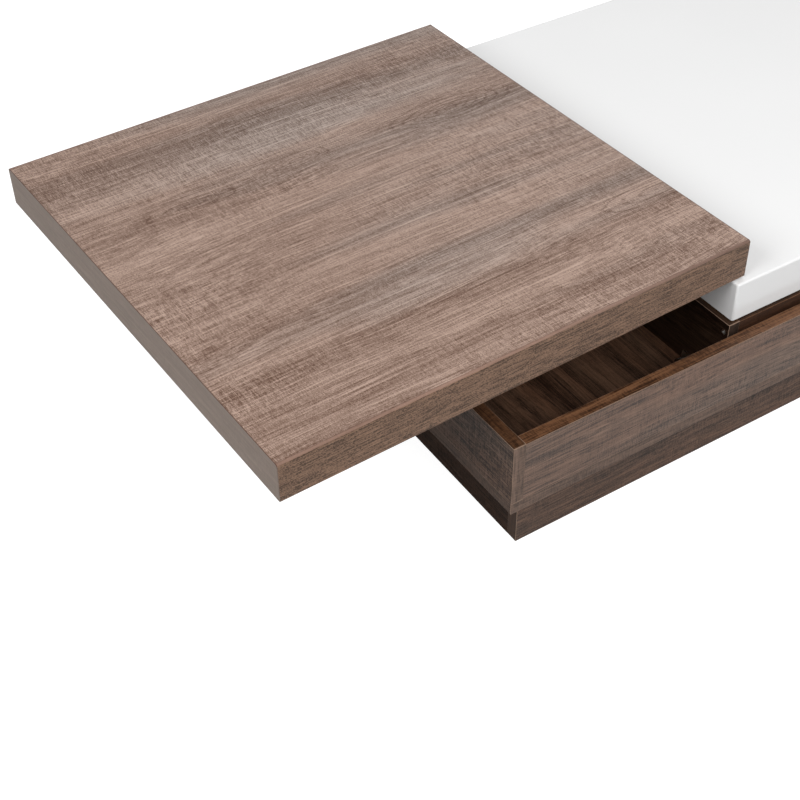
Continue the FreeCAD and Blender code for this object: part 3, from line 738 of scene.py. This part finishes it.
def screws(name, node, body, shank, head_deep, pitch, socket):
    """All the screws of a CAD node, with countersunk heads, a socket or a cross, and threads."""
    shape = bmesh.new()
    for at, along, length, half_width in pins_of(node):
        head = half_width * FLATS_OF_SIX
        profile = [(head * HEAD_FACE, 0.0), (head, head_deep * HEAD_RIM), (shank, head_deep)]
        profile += threaded(length, shank, head_deep + 2 * shank, pitch)
        if socket:
            recess, deep = ring_outline(SOCKET, 6), SOCKET_DEEP
        else:
            recess, deep = cross_outline(head * CROSS_REACH, CROSS_WIDTH), CROSS_DEEP
        turned(shape, profile, standing(at, along), recess, deep)
    finished(name, facing_out(shape), (zinc,), body, "zinc_screw", node)


zinc = metal("zinc_plated_steel", ZINC, rough=0.34, scratch=0.08)
soft_x = softwood("x")
screws("connector_screws", "box_screws", "base", **CONNECTOR)
shape = bmesh.new()
for points in loose_bodies("cam_locks"):
    low, high = box_of(points)
    middle = (low + high) / 2
    inward = 1.0 if low.y > 0 else -1.0
    middle.y = low.y if inward > 0 else high.y
    radius = (high.x - low.x) / 2 * FLATS_OF_TWELVE
    waist = radius * CAM_WAIST
    depth = high.y - low.y
    profile = [(radius - CAM_BEVEL, 0.0), (radius, CAM_STEP), (radius, CAM_HEAD),
               (waist, CAM_HEAD + CAM_STEP), (waist, depth - CAM_FOOT - CAM_STEP),
               (radius, depth - CAM_FOOT), (radius, depth)]
    turned(shape, profile, standing(middle, Vector((0.0, inward, 0.0))),
           cross_outline(CAM_CROSS, CAM_CROSS_WIDTH), CAM_CROSS_DEEP)
cast_zinc = metal("cast_zinc", CAST_ZINC, rough=0.42, scratch=0.06)
finished("cam_barrels", facing_out(shape), (cast_zinc,), "base", "zinc_fitting", "cam_locks")
dress(zinc, "cam_bolts")
dress(soft_x, "corner_dowels")


# ---- Pivot column ----
# A square column of four boards stands in the compartment, screwed up through its softwood corner
# blocks, and a board caps it. It carries the swivel bearing.
inside_z = walnut_board("inside_walnut_along_z", INSIDE_LIGHT, INSIDE_DARK, "z", rough=0.5,
                        sheen=0.35, streak=1.3, saw=0.2, move=(0.4, 1.1, 2.7))
dress(inside_z, "column_front", "column_back", "column_left", "column_right")
dress(inside_y, "column_cap")
dress(soft_z, "column_blocks")


# ---- Inner frame ----
# A divider closes the compartment at the right. With a far support, two rails and a chipboard cross
# rail it makes the frame that carries the white panel. Its edges are banded, and screws draw it
# tight.
FRAME_PAINTED_SHADE = 0.30               # painted shade: the divider and the support are darker than the inside of the box
# painted shade: the frame's top bands and upright end bands are darkened for the shade they stand
# in
FRAME_BAND_PAINTED_SHADE = 0.33
FRAME_END_PAINTED_SHADE = 0.28
# painted shade: the rails under the panel are darkened for the shade beneath it
RAIL_LIGHT = (0.060, 0.029, 0.016)
RAIL_DARK = (0.008, 0.003, 0.002)
# Painted shade: a darker, less glossy copy of the inside print for the divider and the support.
frame_y = walnut_board("frame_walnut_along_y", darker(INSIDE_LIGHT, FRAME_PAINTED_SHADE),
                       darker(INSIDE_DARK, FRAME_PAINTED_SHADE), "y", rough=0.5, sheen=0.1,
                       streak=1.4, saw=0.2, move=(0.9, 1.3, 0.2))
rail_x = walnut_board("rail_walnut", RAIL_LIGHT, RAIL_DARK, "x", rough=0.5, sheen=0.35,
                      streak=0.9, saw=0.4, move=(1.2, 0.4, 1.9))
# Painted shade: dark copies of the rim and wall bands for the frame.
frame_band_x, frame_band_y = (
    edge_band("frame_band_along_" + along, darker(BAND_LIGHT, FRAME_BAND_PAINTED_SHADE),
              darker(BAND_DARK, FRAME_BAND_PAINTED_SHADE), along, sheen=0.15) for along in "xy")
frame_band_z = edge_band("frame_band_along_z", darker(BOX_LIGHT, FRAME_END_PAINTED_SHADE),
                         darker(BOX_DARK, FRAME_END_PAINTED_SHADE), "z", grain=0.9)
dress(frame_y, "divider", "far_support")
dress(rail_x, "frame_front_rail", "frame_back_rail")
dress(raw_board, "frame_cross_rail")
strips("frame_rail_strips", "frame_top_bands", long_bars("frame_top_bands", BOARD, BOARD),
       frame_band_x, band_x)
strips("frame_post_strips", "frame_top_bands", end_bars("frame_top_bands", BOARD, BAND),
       frame_band_y, arris_highlight)
strips("frame_end_strips", "frame_end_bands", upright_bars("frame_end_bands", BOARD, BAND),
       frame_band_z, arris_highlight)
screws("frame_connector_screws", "frame_screws", "base", **CONNECTOR)


# ---- Angle brackets ----
# Small angles of bent zinc-plated strip, two in the compartment against the divider and four under
# the panel, each held by two short cross-head screws.
SHEET = 0.0015
BEND = 0.0012
BEND_STEPS = 5
CORNER = 0.0025
CORNER_SOFT = 0.00075
CROSS_HEAD = {"shank": 0.0017, "head_deep": 0.0015, "pitch": 0.0018, "socket": False}


def bracket(shape, points):
    """Angle bent round a small radius, with the corners of both legs rounded."""
    low, high = box_of(points)
    middle = sum(points, Vector()) / len(points)
    corner_x = min((low.x, high.x), key=lambda x: abs(x - middle.x))
    corner_z = min((low.z, high.z), key=lambda z: abs(z - middle.z))
    out = 1.0 if corner_x == low.x else -1.0
    up = 1.0 if corner_z == low.z else -1.0
    leg, width = high.x - low.x, high.y - low.y
    far = BEND + SHEET
    turns = [QUARTER * i / BEND_STEPS for i in range(BEND_STEPS + 1)]
    outer = [(far - far * math.sin(turn), far - far * math.cos(turn)) for turn in turns]
    inner = [(far - BEND * math.sin(turn), far - BEND * math.cos(turn)) for turn in turns]
    rows = []
    for y, trim in ((0.0, CORNER), (CORNER_SOFT, CORNER_SOFT), (CORNER, 0.0),
                    (width - CORNER, 0.0), (width - CORNER_SOFT, CORNER_SOFT), (width, CORNER)):
        end = leg - trim
        outline = [(end, 0.0), *outer, (0.0, end), (SHEET, end), *inner[::-1], (end, SHEET)]
        rows.append([shape.verts.new((corner_x + out * a, low.y + y, corner_z + up * b))
                     for a, b in outline])
    count = len(rows[0])
    bent = len(outer)
    for near, far in zip(rows[:-1], rows[1:]):
        for i in range(count):
            face = shape.faces.new((near[i - 1], near[i], far[i], far[i - 1]))
            face.smooth = 1 < i <= bent or bent + 3 < i < count - 1
    shape.faces.new(rows[0])
    shape.faces.new(rows[-1])


shape = bmesh.new()
for points in loose_bodies("angle_brackets"):
    bracket(shape, points)
finished("bent_angles", facing_out(shape), (zinc,), "base", "zinc_fitting", "angle_brackets")
screws("bracket_cross_screws", "bracket_screws", "base", **CROSS_HEAD)


# ---- Fixed panel ----
# A white skin lacquered to a high gloss is folded over the top and the four edges of a hollow
# panel, with soft arrises. Battens and a paper core fill it, and a thin fibreboard sheet closes it
# from below.
LACQUER = (0.80, 0.80, 0.80)
# painted shadow: the dark colour of the shell's foot bevel, where the panel sits on the frame
PANEL_FOOT_SHADOW = (0.035, 0.020, 0.013)
SKIN = 0.005
PANEL_ROUND = 0.003
PANEL_LOW_BEVEL = 0.0012
BACKING_LIGHT = (0.50, 0.42, 0.33)
BACKING_DARK = (0.38, 0.31, 0.23)
BACKING_FINE = (600.0, 600.0, 600.0)
KRAFT_LIGHT = (0.50, 0.38, 0.25)
KRAFT_DARK = (0.38, 0.27, 0.17)
KRAFT_FINE = (300.0, 300.0, 900.0)


def speckled(name, light, dark, fine, rough):
    """Pressed fibres or kraft paper: a mottled brown with short fibres in all directions."""
    finish = Finish(name, light, rough)
    fibres = finish.cloud(finish.place(), fine, detail=4.0, rough=0.75)
    finish.paint(fibres, dark, light, start=0.35, end=0.65)
    finish.relief(fibres, strength=0.3, depth=0.0002)
    return finish.material


def at_level(edge, z):
    return all(round(v.co.z - z, SAME_PLACE) == 0 for v in edge.verts)


def rounded_shell(low, high):
    """Box open below, rounded at its upper and upright edges. The small bevel at its foot has a
    finish of its own, a dark painted shadow where the panel sits on the frame."""
    shape = bmesh.new()
    cuboid(shape, low, high)
    soft = [e for e in shape.edges if not at_level(e, low.z)]
    made = bmesh.ops.bevel(shape, geom=soft, offset=PANEL_ROUND, segments=6, profile=0.5,
                           affect="EDGES")
    for face in made["faces"]:
        face.smooth = True
    foot = [e for e in shape.edges if at_level(e, low.z)]
    made = bmesh.ops.bevel(shape, geom=foot, offset=PANEL_LOW_BEVEL, segments=2, profile=0.5,
                           affect="EDGES")
    for face in made["faces"]:
        face.material_index = 1
    under = next(f for f in shape.faces if all(at_level(e, low.z) for e in f.edges))
    bmesh.ops.inset_individual(shape, faces=[under], thickness=SKIN - PANEL_LOW_BEVEL, depth=0.0)
    hollow = bmesh.ops.extrude_discrete_faces(shape, faces=[under])["faces"][0]
    bmesh.ops.translate(shape, verts=list(hollow.verts), vec=(0.0, 0.0, high.z - low.z - SKIN))
    return facing_out(shape)


lacquer = Finish("white_lacquer", LACQUER, rough=0.16)
lacquer.set("Coat Weight", 0.1)
lacquer.set("Coat Roughness", 0.04)
broad = lacquer.mottle(fine=2.5)
gloss = lacquer.between(broad, low=0.3, high=0.7, out_low=0.14, out_high=0.19)
lacquer.set("Roughness", gloss)
lacquer.paint(broad, darker(LACQUER, 0.985), LACQUER, start=0.3, end=0.7)
lacquer.relief(lacquer.mottle(fine=170.0), strength=0.04, depth=0.0002)
# Painted shadow along the foot of the white shell.
foot_shadow = Finish("painted_foot_shadow", PANEL_FOOT_SHADOW, rough=0.8)
foot_shadow.paint(foot_shadow.mottle(fine=300.0, rough=0.6), darker(PANEL_FOOT_SHADOW, 0.6), PANEL_FOOT_SHADOW,
             start=0.3, end=0.7)
finished("lacquered_shell", rounded_shell(*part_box("fixed_panel_shell")),
         (lacquer.material, foot_shadow.material), "base", "white_lacquer", "fixed_panel_shell")
kraft = speckled("kraft_paper", KRAFT_LIGHT, KRAFT_DARK, KRAFT_FINE, rough=0.85)
backing = speckled("fibreboard_backing", BACKING_LIGHT, BACKING_DARK, BACKING_FINE, rough=0.8)
dress(backing, "fixed_panel_sheet")
dress(soft_x, "fixed_panel_battens")
dress(kraft, "fixed_panel_core")


# ---- Swivel bearing ----
# Two zinc-plated steel plates with races turned in their faces hold a ring of polished balls in a
# nylon cage. The lower plate is screwed to the column's cap and the upper one to the swivel top.
PLATE_STEEL = (0.52, 0.53, 0.54)
BALL_STEEL = (0.76, 0.76, 0.77)
NYLON = (0.80, 0.79, 0.74)
plate_steel = metal("plate_steel", PLATE_STEEL, rough=0.38, scratch=0.08)
dress(plate_steel, "bearing_lower_plate", "bearing_upper_plate")
screws("lower_plate_screws", "bearing_lower_screws", "base", **CROSS_HEAD)
screws("upper_plate_screws", "bearing_upper_screws", "swivel_top", **CROSS_HEAD)
shape = bmesh.new()
for points in loose_bodies("bearing_balls"):
    low, high = box_of(points)
    bmesh.ops.create_icosphere(shape, subdivisions=3, radius=(high.z - low.z) / 2,
                               matrix=Matrix.Translation((low + high) / 2))
for face in shape.faces:
    face.smooth = True
ball_steel = metal("ball_steel", BALL_STEEL, rough=0.10, scratch=0.03)
finished("steel_balls", facing_out(shape), (ball_steel,), "ball_cage", "ball_steel",
         "bearing_balls")
nylon = Finish("cage_nylon", NYLON, rough=0.45)
cloudy = nylon.mottle(fine=240.0)
nylon.paint(cloudy, darker(NYLON, 0.94), NYLON, start=0.3, end=0.7)
nylon.relief(cloudy, strength=0.1, depth=0.0001)
dress(nylon.material, "bearing_cage")


# ---- Swivel top ----
# A hollow panel: printed walnut skins over battens, a solid block above the bearing and a paper
# core. Moulded strips with a soft upper edge close front and back, and flat grey-brown bands the
# ends.
TOP_LIGHT = (0.410, 0.322, 0.276)
TOP_DARK = (0.082, 0.041, 0.024)
TOP_LEVEL = 0.83
TOP_TURN = math.radians(2.0)
TOP_STREAKS = (                  # place across from the middle, half width, how much lighter
    (0.276, 0.042, -0.20),
    (0.198, 0.048, 0.17),
    (0.119, 0.040, -0.20),
    (0.058, 0.032, 0.14),
    (-0.030, 0.050, -0.04),
    (-0.104, 0.034, 0.10),
    (-0.148, 0.026, -0.18),
    (-0.187, 0.028, 0.14),
    (-0.222, 0.026, -0.18),
    (-0.266, 0.030, 0.12),
    (-0.297, 0.018, -0.12),
    (-0.325, 0.024, 0.10),
)
TOP_FLAMES = (                   # middle along and across, half length and half width, rings
    (0.230, 0.125, 0.120, 0.034, 6.0),
    (-0.020, 0.135, 0.060, 0.022, 5.0),
    (0.330, -0.200, 0.110, 0.026, 4.0),
    (-0.190, 0.128, 0.090, 0.016, 4.0),
)
TOP_FLAME_SHADE = -0.32
TOP_SHADED_FRONT = (-0.34, -0.12)  # painted shade: where the top is rosier at the front, fading out
TOP_SHADED_LEFT = (-0.34, 0.04)    # and the same at the left, as strong as the next value
TOP_SHADED_LEFT_SHARE = 0.8
TOP_CORNER_PAINTED_SHADE = -0.10         # painted shade: the front left corner is darker as well
LIPPING = 0.004
LIPPING_ROUND = 0.003
LIPPING_LOW_ROUND = 0.001
LIPPING_LIGHT = (0.238, 0.142, 0.092)
LIPPING_DARK = (0.044, 0.023, 0.013)
# painted highlight: a lighter colour on the rounded upper edge of the moulded strips
LIPPING_HIGHLIGHT_LIGHT = (0.287, 0.181, 0.138)
LIPPING_HIGHLIGHT_DARK = (0.140, 0.080, 0.058)
SIDE_LIGHT = (0.210, 0.160, 0.130)
SIDE_DARK = (0.140, 0.104, 0.082)
GLUE_LIGHT = (0.130, 0.070, 0.050)
GLUE_DARK = (0.060, 0.026, 0.018)
GLUE_WIDTH = 0.0005
plate_low, plate_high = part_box("bearing_upper_plate")
pivot = (plate_low + plate_high) / 2
pivot.z = 0.0
to_rest = Matrix.Translation(pivot) @ Matrix.Rotation(TOP_TURN, 4, "Z")
to_top = to_rest.inverted()
left_points = [to_top @ v.co for v in cad["top_left_band"].data.vertices]
right_points = [to_top @ v.co for v in cad["top_right_band"].data.vertices]
top_start = min(p.x for p in left_points)
top_reach = max(p.x for p in right_points)
half_depth = max(p.y for p in right_points)
top_low, top_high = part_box("top_left_band")


def top_walnut():
    """Finer print than on the box, with its streaks and the flames of its yearly rings in set
    places, and, as painted shade, rosier and darker towards the front and the left."""
    turned_pivot = Matrix.Rotation(-TOP_TURN, 3, "Z") @ pivot
    move = (-(top_reach + top_start) / 2 - turned_pivot.x, -turned_pivot.y, 0.0)
    wood = Walnut("top_walnut", TOP_LIGHT, TOP_DARK, "x", rough=0.45, sheen=0.30, move=move,
                  turn=TOP_TURN)
    wood.streaks(broad=0.50, middle=0.42)
    place = wood.node("SeparateXYZ")
    wood.feed(place.inputs[0], wood.bent)
    length, across = place.outputs["X"], place.outputs["Y"]
    uneven = wood.between(wood.grain(wood.point, along=2.4, across=8.0), low=0.3, high=0.7,
                          out_low=0.55, out_high=1.35)
    for centre, half_width, shade in TOP_STREAKS:
        off = wood.sum("ABSOLUTE", wood.sum("SUBTRACT", across, centre))
        wood.mark(wood.sum("MULTIPLY", wood.lines(off, half_width), uneven), shade)
    wood.mood = wood.tone
    # Painted shade: rosier and darker towards the front and the left.
    front = wood.between(across, *TOP_SHADED_FRONT, out_low=1.0, out_high=0.0)
    left = wood.between(length, *TOP_SHADED_LEFT, out_low=TOP_SHADED_LEFT_SHARE, out_high=0.0)
    wood.mark(wood.sum("MULTIPLY", front, left), TOP_CORNER_PAINTED_SHADE)
    wood.fibres(coarse_along=3.0, coarse=0.58, fine_along=11.0, fine=1.9, specks=2.4)
    wood.saw_marks(1.1)
    wood.yearly_rings(1.0)
    for centre_x, centre_y, half_length, half_width, count in TOP_FLAMES:
        local = wood.vector("SUBTRACT", wood.bent, (centre_x, centre_y, 0.0))
        local = wood.vector("MULTIPLY", local, (1.0 / half_length, 1.0 / half_width, 0.0))
        reach = wood.node("VectorMath", operation="LENGTH")
        wood.feed(reach.inputs[0], local)
        ragged = wood.grain(wood.bent, along=9.0, across=60.0)
        ragged = wood.over(reach.outputs["Value"], ragged, amount=0.45)
        lines = wood.lines(wood.rings(ragged, count), width=0.22)
        fade = wood.between(ragged, low=0.75, high=1.05, out_low=1.0, out_high=0.0)
        wood.mark(wood.sum("MULTIPLY", lines, fade), TOP_FLAME_SHADE)
    return wood.printed(TOP_LEVEL, wood.sum("MAXIMUM", front, left))


def arc(centre, radius, start, end, steps=8):
    """Points on an arc, angles in quarters of a turn."""
    turns = [QUARTER * (start + (end - start) * i / steps) for i in range(steps + 1)]
    return [(centre[0] + radius * math.cos(turn), centre[1] + radius * math.sin(turn))
            for turn in turns]


def swept(name, outline, span, materials, node):
    """Bar with one outline across the top, swept along it and set at the top's turn. Each point
    of the outline says whether the face before it is smooth and which material it has."""
    shape = bmesh.new()
    ends = [[shape.verts.new(to_rest @ Vector((x, y, z))) for y, z, _, _ in outline]
            for x in span]
    for i, (_, _, smooth, material) in enumerate(outline):
        face = shape.faces.new((ends[0][i - 1], ends[0][i], ends[1][i], ends[1][i - 1]))
        face.smooth = smooth
        face.material_index = material
    shape.faces.new(ends[0])
    shape.faces.new(ends[1][::-1])
    finished(name, facing_out(shape), materials, "swivel_top", "top_lipping", node)


def lipping_outline(side_sign):
    """Section of a moulded strip: a glue line at the skin and two rounded edges."""
    face, back = half_depth, half_depth - LIPPING
    points = [(back, top_low.z, False, 0), (back, top_high.z - GLUE_WIDTH / 2, False, 0),
              (back + GLUE_WIDTH, top_high.z, False, 2)]
    upper = arc((face - LIPPING_ROUND, top_high.z - LIPPING_ROUND), LIPPING_ROUND, 1.0, 0.0)
    points += [(y, z, i > 0, 1 if i < len(upper) - 2 else 0) for i, (y, z) in enumerate(upper)]
    lower = arc((face - LIPPING_LOW_ROUND, top_low.z + LIPPING_LOW_ROUND), LIPPING_LOW_ROUND,
                0.0, -1.0, 4)
    points += [(y, z, i > 0, 0) for i, (y, z) in enumerate(lower)]
    return [(side_sign * y, z, smooth, material) for y, z, smooth, material in points]


def end_strip(name, node, start):
    """Flat strip glued on an end of the top, cut to the section of the moulded strips. Its upper
    edge shows the dark glue under the foil."""
    half = [(y, z) for y, z, _, _ in lipping_outline(1.0)[3:]]
    outline = half[::-1] + [(-y, z) for y, z in half]
    trim = ARRIS / 2
    middle_z = (top_low.z + top_high.z) / 2
    shape = bmesh.new()
    rows = []
    for x, inset in ((start, trim), (start + trim, 0.0), (start + BAND - trim, 0.0),
                     (start + BAND, trim)):
        rows.append([shape.verts.new(to_rest @ Vector((
            x, y - math.copysign(inset, y), z - math.copysign(inset, z - middle_z))))
            for y, z in outline])
    for near, far in zip(rows[:-1], rows[1:]):
        for i in range(len(outline)):
            face = shape.faces.new((near[i - 1], near[i], far[i], far[i - 1]))
            upward = min(outline[i - 1][1], outline[i][1]) > top_high.z - LIPPING_ROUND
            face.material_index = 1 if upward else 0
    shape.faces.new(rows[0])
    shape.faces.new(rows[-1][::-1])
    finished(name, facing_out(shape), (side, glue), "swivel_top", "top_side_band", node)


lipping = edge_band("top_lipping", LIPPING_LIGHT, LIPPING_DARK, "x", grain=0.25, threads=1.7)
# Painted highlight on the strips' rounded upper edge.
lipping_highlight = edge_band("lipping_edge_painted_highlight", LIPPING_HIGHLIGHT_LIGHT, LIPPING_HIGHLIGHT_DARK, "x",
                         grain=0.6)
side = edge_band("top_side_band", SIDE_LIGHT, SIDE_DARK, "y", grain=0.9)
glue = edge_band("glue_line", GLUE_LIGHT, GLUE_DARK, "x")
dress(top_walnut(), "top_upper_skin", "top_lower_skin")
for name, node, sign in (("front_moulded_strip", "top_front_lipping", -1.0),
                         ("back_moulded_strip", "top_back_lipping", 1.0)):
    swept(name, lipping_outline(sign), (top_start + BAND, top_reach - BAND),
          (lipping, lipping_highlight, glue), node)
end_strip("left_end_strip", "top_left_band", top_start)
end_strip("right_end_strip", "top_right_band", top_reach - BAND)
dress(soft_x, "top_front_batten", "top_back_batten", "top_left_batten", "top_right_batten")
dress(raw_board, "top_pivot_block")
dress(kraft, "top_paper_core")


# ---- Glide pads ----
# Four discs of brown felt are glued under the corners of the swivel top. They keep it off the white
# panel, so that it doesn't scratch the lacquer as it turns.
FELT = (0.26, 0.20, 0.15)
PAD_ROUND = 0.0005
PAD_ROUND_MIDDLE = 0.00015
PAD_DIMPLE = 0.00015
felt = Finish("brown_felt", FELT, rough=0.95, sheen=0.1)
felt.set("Sheen Weight", 0.3)
hairs = felt.mottle(fine=900.0, detail=5.0, rough=0.8)
felt.paint(hairs, darker(FELT, 0.6), FELT, start=0.35, end=0.65)
felt.relief(hairs, strength=0.8, depth=0.0006)
shape = bmesh.new()
for points in loose_bodies("top_glide_pads"):
    low, high = box_of(points)
    radius = (high.x - low.x) / 2
    at = (low + high) / 2
    at.z = low.z
    profile = [(radius - PAD_ROUND, 0.0), (radius - PAD_ROUND_MIDDLE, PAD_ROUND_MIDDLE),
               (radius, PAD_ROUND), (radius, high.z - low.z)]
    turned(shape, profile, Matrix.Translation(at), ring_outline(radius / 2), PAD_DIMPLE)
finished("felt_discs", facing_out(shape), (felt.material,), "swivel_top", "felt",
         "top_glide_pads")
